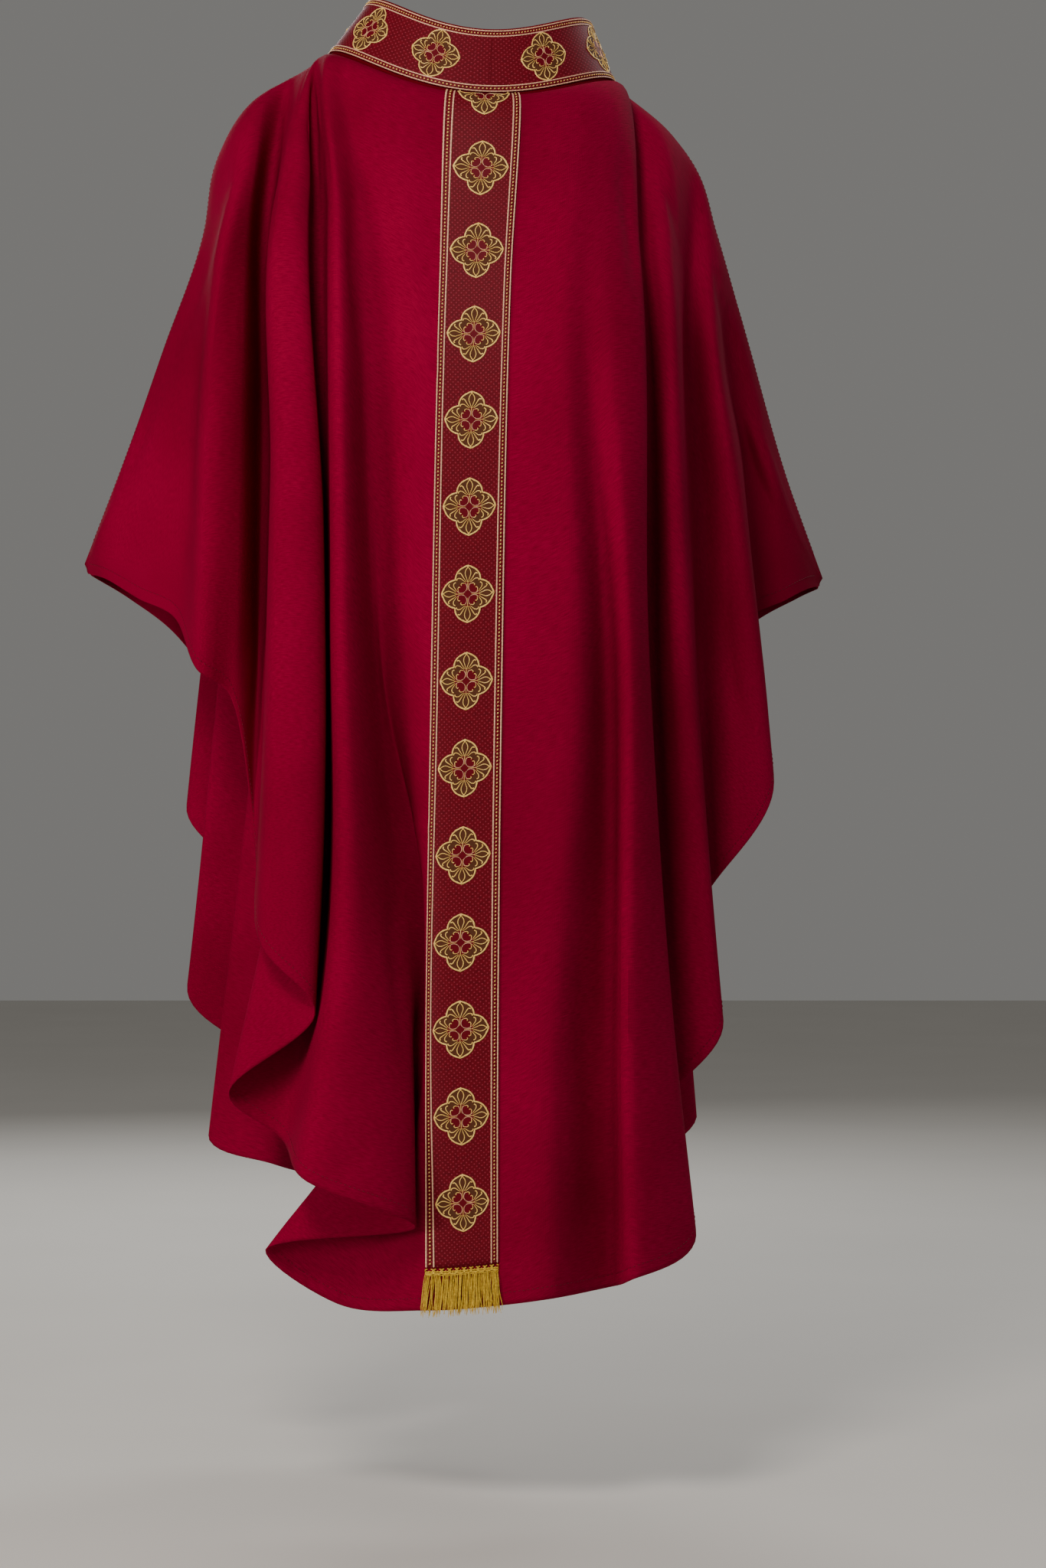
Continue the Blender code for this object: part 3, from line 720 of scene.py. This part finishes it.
# One palmette, out from the medallion's centre and to its side: knots and widths
palmette = [
    (((4.0, 0.0), (8.0, 0.0), (13.0, 0.0)), (0.3, 0.4, 0.7, 0.4)),
    (((12.0, 0.2), (16.5, 1.6), (20.5, 3.0), (24.3, 2.3), (27.0, 0.2)), (0.4, 0.7, 1.0, 0.8)),
    (((11.5, 0.6), (15.3, 3.8), (19.0, 6.2), (21.4, 8.2), (20.6, 10.0)), (0.3, 0.6, 1.1, 1.3)),
    (((10.8, 0.8), (13.6, 4.8), (15.8, 8.0), (15.6, 10.8), (13.6, 11.8)), (0.3, 0.6, 1.0, 1.2)),
    (((10.0, 1.0), (10.8, 3.6), (11.0, 5.8), (9.8, 7.2), (8.6, 6.6)), (0.3, 0.6, 0.9, 0.8)),
]


def medallion():
    bm = bmesh.new()
    quarters = []
    for quarter in range(4):
        upright = quarter % 2
        reach = goldWork["tall"] if upright else goldWork["wide"]
        corner = goldWork["corner"][::-1] if upright else goldWork["corner"]
        angle = math.pi / 2 * quarter
        turned = np.array([(math.cos(angle), math.sin(angle)), (-math.sin(angle), math.cos(angle))])
        outline = lobeOutline(reach, corner, 19)
        quarters.append(outline @ turned)
        stroke(bm, outline @ turned, 1.7, 1.0, finish=0, around=6, twist=1.3)
        scale = np.array((reach / 29.0, 1.0))
        for knots, widths in palmette:
            line = smoothLine(knots, 9) * scale
            width = np.interp(np.linspace(0, 1, 9), np.linspace(0, 1, len(widths)), widths)
            for side in ((1, 1), (1, -1)) if knots[-1][1] or knots[1][1] else ((1, 1),):
                stroke(bm, (line * side) @ turned, width, 0.9, finish=0, around=5)
        for side in (1, -1):
            arc = [(6.6 + 5.7 * math.cos(t), side * (6.6 + 5.7 * math.sin(t)))
                   for t in np.linspace(-2.3, -0.7, 9)]
            stroke(bm, np.array(arc) @ turned, 0.55, 0.8, finish=1, around=5)
        bead = np.array((reach - 1.6, 0.0)) @ turned
        bmesh.ops.create_icosphere(bm, subdivisions=1, radius=1.3,
                                   matrix=Matrix.Translation((*bead, 0.7)))
    outline = np.vstack([quarter[:-1] for quarter in quarters])
    # dark plate under the lobes (finish 2): painted shade between the gold threads
    plate(bm, outline * 0.985, 0.0, 0.3, finish=2, rings=4)
    field = [(12.4 * math.cos(t), 12.4 * math.sin(t))
             for t in np.linspace(0, 2 * math.pi, 33)[:-1]]
    plate(bm, field, 0.2, 0.42, finish=3, rings=2)
    mesh = bpy.data.meshes.new("medallion")
    bm.to_mesh(mesh)
    bm.free()
    return mesh


def border(bm, start, end, mirrored=(1, -1)):
    # two twisted cords with a row of dots between them, along each edge
    count = round((end - start) / goldWork["cordStep"])
    for side in mirrored:
        for offset in goldWork["cords"]:
            line = np.c_[np.full(count, side * offset), np.linspace(start, end, count)]
            widths = np.full(count, goldWork["cordWidth"])
            widths[[0, -1]] = 0
            stroke(bm, line, widths, goldWork["cordLift"], finish=1, around=6, twist=1.1)
        for down in np.arange(start + 2, end - 1, goldWork["dotPitch"]):
            place = Matrix.Translation((side * goldWork["dots"], down, 0.45))
            place = place @ Matrix.Rotation(0.35, 4, "Z") @ Matrix.Diagonal((*goldWork["dotSize"], 1))
            bmesh.ops.create_icosphere(bm, subdivisions=1, radius=1.0, matrix=place)


def closeEnds(bm):
    # fill the open ends of cords and strands, then turn all faces outwards
    openEdges = [edge for edge in bm.edges if edge.is_boundary]
    bmesh.ops.holes_fill(bm, edges=openEdges, sides=0)
    bmesh.ops.recalc_face_normals(bm, faces=bm.faces)


def layOn(name, bm, surface, materials, slotName):
    flat = np.array([vert.co for vert in bm.verts])
    for vert, place in zip(bm.verts, surface(*flat.T)):
        vert.co = place * mm
    closeEnds(bm)
    piece = bmObject(name, bm, materials[0])
    for material in materials[1:]:
        piece.data.materials.append(material)
    return finishPiece(piece, slotName)


def placedMedallions(places, cutAbove=None):
    bm = bmesh.new()
    pattern = medallion()
    for across, down in places:
        before = len(bm.verts)
        bm.from_mesh(pattern)
        bm.verts.ensure_lookup_table()
        for vert in bm.verts[before:]:
            vert.co += Vector((across, down, 0))
    if cutAbove is not None:
        bmesh.ops.bisect_plane(bm, geom=bm.verts[:] + bm.edges[:] + bm.faces[:],
                               plane_co=(0, cutAbove, 0), plane_no=(0, -1, 0), clear_outer=True)
        bmesh.ops.holes_fill(bm, edges=[edge for edge in bm.edges if edge.is_boundary], sides=0)
    return bm


def onGalloon(across, down, lift):
    return onBand(across, down, cloth["seamGap"] + cloth["galloonWall"] + lift - 0.1)


# the third material is the dark plate of painted shade between the gold threads
threadsOnGalloon = [yellowGold, roseGold, threadShadePlate, galloonRed]
downs = goldWork["first"] + goldWork["pitch"] * np.arange(goldWork["count"])
backMedallions = layOn("backMedallions", placedMedallions([(0, down) for down in downs], 1.0),
                       onGalloon, threadsOnGalloon, "gold_thread")
bm = bmesh.new()
border(bm, 0.5, bandLength - 0.5)
backBorder = layOn("backBorder", bm, onGalloon, [yellowGold, roseGold], "gold_thread")
print("back ornament", len(backMedallions.data.polygons), len(backBorder.data.polygons))

# Neckband ornament: along the neckband from the centre back, towards the wearer's right

turns = np.linspace(-math.pi, math.pi, 721)
neckLine = np.array([neckPlace(-turn, 0.51, 0.0) for turn in turns])
neckAlong = np.r_[0, np.cumsum(np.linalg.norm(np.diff(neckLine, axis=0), axis=1))]
neckAlong -= np.interp(0.0, turns, neckAlong)
neckHalf = {"height": 37.5, "first": 60.0, "pitch": 90.0, "join": 17.0}


def onNeck(down, across, lift):
    # flat y runs along the neckband, flat x from its upper to its lower edge
    out = cloth["neckWall"] / 2 + cloth["seamGap"] + cloth["galloonWall"] - 0.1
    low, high = neckband["lift"]
    lifts = (low + high) / 2 - np.asarray(down) / neckHalf["height"] * (high - low) / 2
    where = -np.interp(across, neckAlong, turns)
    return np.array([neckPlace(turn, height, out + rise)
                     for turn, height, rise in zip(where, lifts, lift)])


def onNeckUpright(across, down, lift):
    return onNeck(down, across, lift)


offsets = neckHalf["first"] + neckHalf["pitch"] * np.arange(4)
neckMedallions = layOn("neckbandMedallions",
                       placedMedallions([(neckHalf["join"] + side * offset, 0) for side in (-1, 1)
                                         for offset in offsets]),
                       onNeckUpright, threadsOnGalloon, "gold_thread")
bm = bmesh.new()
border(bm, neckAlong[0] + 0.5, neckAlong[-1] - 0.5)
for offset in (-0.7, 0.7):      # the galloon's ends meet at the centre back
    stroke(bm, [(x, neckHalf["join"] + offset) for x in np.linspace(-29, 29, 12)], 0.7, 0.35,
           finish=2, around=5)
neckBorder = layOn("neckbandBorder", bm, onNeck, [yellowGold, roseGold, galloonRed],
                   "gold_thread")
print("neckband ornament", len(neckMedallions.data.polygons), len(neckBorder.data.polygons))

# Fringe: a looped gimp heading and tufts of strands

fringe = {"tufts": 10, "perTuft": 20, "length": 44.0, "strand": 0.78, "steps": 7}


def makeFringe():
    bm = bmesh.new()
    half, pitch = band["half"] + 0.5, 2 * (band["half"] + 0.5) / fringe["tufts"]
    top = bandLength + 0.8
    for row in (3.4, 5.2, 7.0):
        line = np.c_[np.linspace(-half, half, 60), np.full(60, top + row)]
        stroke(bm, line, 1.6, 1.8, around=6, twist=1.2)
    for k in range(fringe["tufts"]):
        middle = -half + pitch * (k + 0.5)
        loop = [(middle + 0.62 * pitch * math.sin(t), top + 3.0 - 2.9 * math.cos(t))
                for t in np.linspace(0.35, 2 * math.pi - 0.35, 15)]
        stroke(bm, loop, 1.5, 2.2, around=6, twist=1.2)
        drop = [(middle + 0.2 * math.cos(t), top + 3.2 + 0.8 * math.sin(t))
                for t in np.linspace(0, 2 * math.pi, 9)]
        stroke(bm, drop, 1.2, 2.4, around=5)
    gimp = layOn("fringeGimp", bm, onBand, [fringeGold], "gold_thread")

    bm = bmesh.new()
    for k in range(fringe["tufts"]):
        middle = -half + pitch * (k + 0.5)
        lean = rng.uniform(-0.05, 0.05) + 0.11 * middle / half
        for strand in range(fringe["perTuft"]):
            across = middle + rng.uniform(-0.44, 0.44) * pitch
            root = onBand(across, top + 6.2, rng.uniform(0.8, 2.4))
            length = fringe["length"] * rng.uniform(0.78, 1.02)
            spread = lean + rng.uniform(-0.09, 0.09)
            bow = rng.uniform(-2.2, 2.2)
            rings = []
            for i in range(fringe["steps"]):
                q = i / (fringe["steps"] - 1)
                place = root + np.array((-(spread * length * q + bow * math.sin(3 * q)),
                                         1.2 * math.sin(2.5 * q + strand), -length * q))
                width = fringe["strand"] * (0.5 if i in (0, fringe["steps"] - 1) else 1.0) / 2
                rings.append([place + np.array((width * math.cos(t), width * math.sin(t), 0))
                              for t in np.linspace(0, 2 * math.pi, 6)[:-1]])
            sweep(bm, np.array(rings))
    for vert in bm.verts:
        vert.co *= mm
    closeEnds(bm)
    strands = finishPiece(bmObject("fringeStrands", bm, fringeGold), "gold_thread", "fringe")
    return gimp, strands


fringeGimp, fringeStrands = makeFringe()
print("fringe made", len(fringeStrands.data.polygons))

# Stitching along the hems, 13 mm above the edge, and beside the seams

stitches = {"hem": 13.0, "seam": 6.0, "pitch": 5.0, "length": 3.4, "width": 0.8}


def stitchLine(bm, grid, normals, fromHem, distance, columns):
    # a row of stitches at a distance from the hem or from the seam edge
    down = np.cumsum(np.linalg.norm(np.diff(grid, axis=0, prepend=grid[:1]), axis=2), axis=0)
    places, ups = [], []
    for column in columns:
        goal = down[-1, column] - distance if fromHem else distance
        row = np.interp(goal, down[:, column], np.arange(len(grid)))
        i = min(int(row), len(grid) - 2)
        places.append(grid[i, column] * (i + 1 - row) + grid[i + 1, column] * (row - i))
        ups.append(normals[i, column])
    places, ups = np.array(places), np.array(ups)
    places += ups * (cloth["wall"] / 2 + 0.1)
    along = np.r_[0, np.cumsum(np.linalg.norm(np.diff(places, axis=0), axis=1))]
    for start in np.arange(4, along[-1] - 6, stitches["pitch"]):
        middle, ahead, up = (Vector([np.interp(where, along, values[:, axis]) for axis in range(3)])
                             for where, values in ((start, places), (start + 1, places),
                                                   (start, ups)))
        ahead = (ahead - middle).normalized()
        side = up.cross(ahead).normalized()
        turn = Matrix((ahead, side, ahead.cross(side))).transposed().to_4x4()
        scale = Matrix.Diagonal((stitches["length"] / 2, stitches["width"] / 2, 0.45, 1))
        bmesh.ops.create_icosphere(bm, subdivisions=1, radius=1.0,
                                   matrix=Matrix.Translation(middle) @ turn @ scale)


def sewPanel(name, grid, normals, tops):
    bm = bmesh.new()
    stitchLine(bm, grid, normals, True, stitches["hem"], range(2, grid.shape[1] - 2))
    for side in (1, -1):
        reach = [k for k, top in enumerate(tops) if 1.02 < top * side < 1.97]
        stitchLine(bm, grid, normals, False, stitches["seam"], reach)
    for vert in bm.verts:
        vert.co *= mm
    return finishPiece(bmObject(name, bm, sewingThread), "cloth")


backStitches = sewPanel("backStitches", backGrid, backNormals, backTops)
frontStitches = sewPanel("frontStitches", frontGrid, frontNormals, frontTops)
print("stitches", len(backStitches.data.polygons), len(frontStitches.data.polygons))
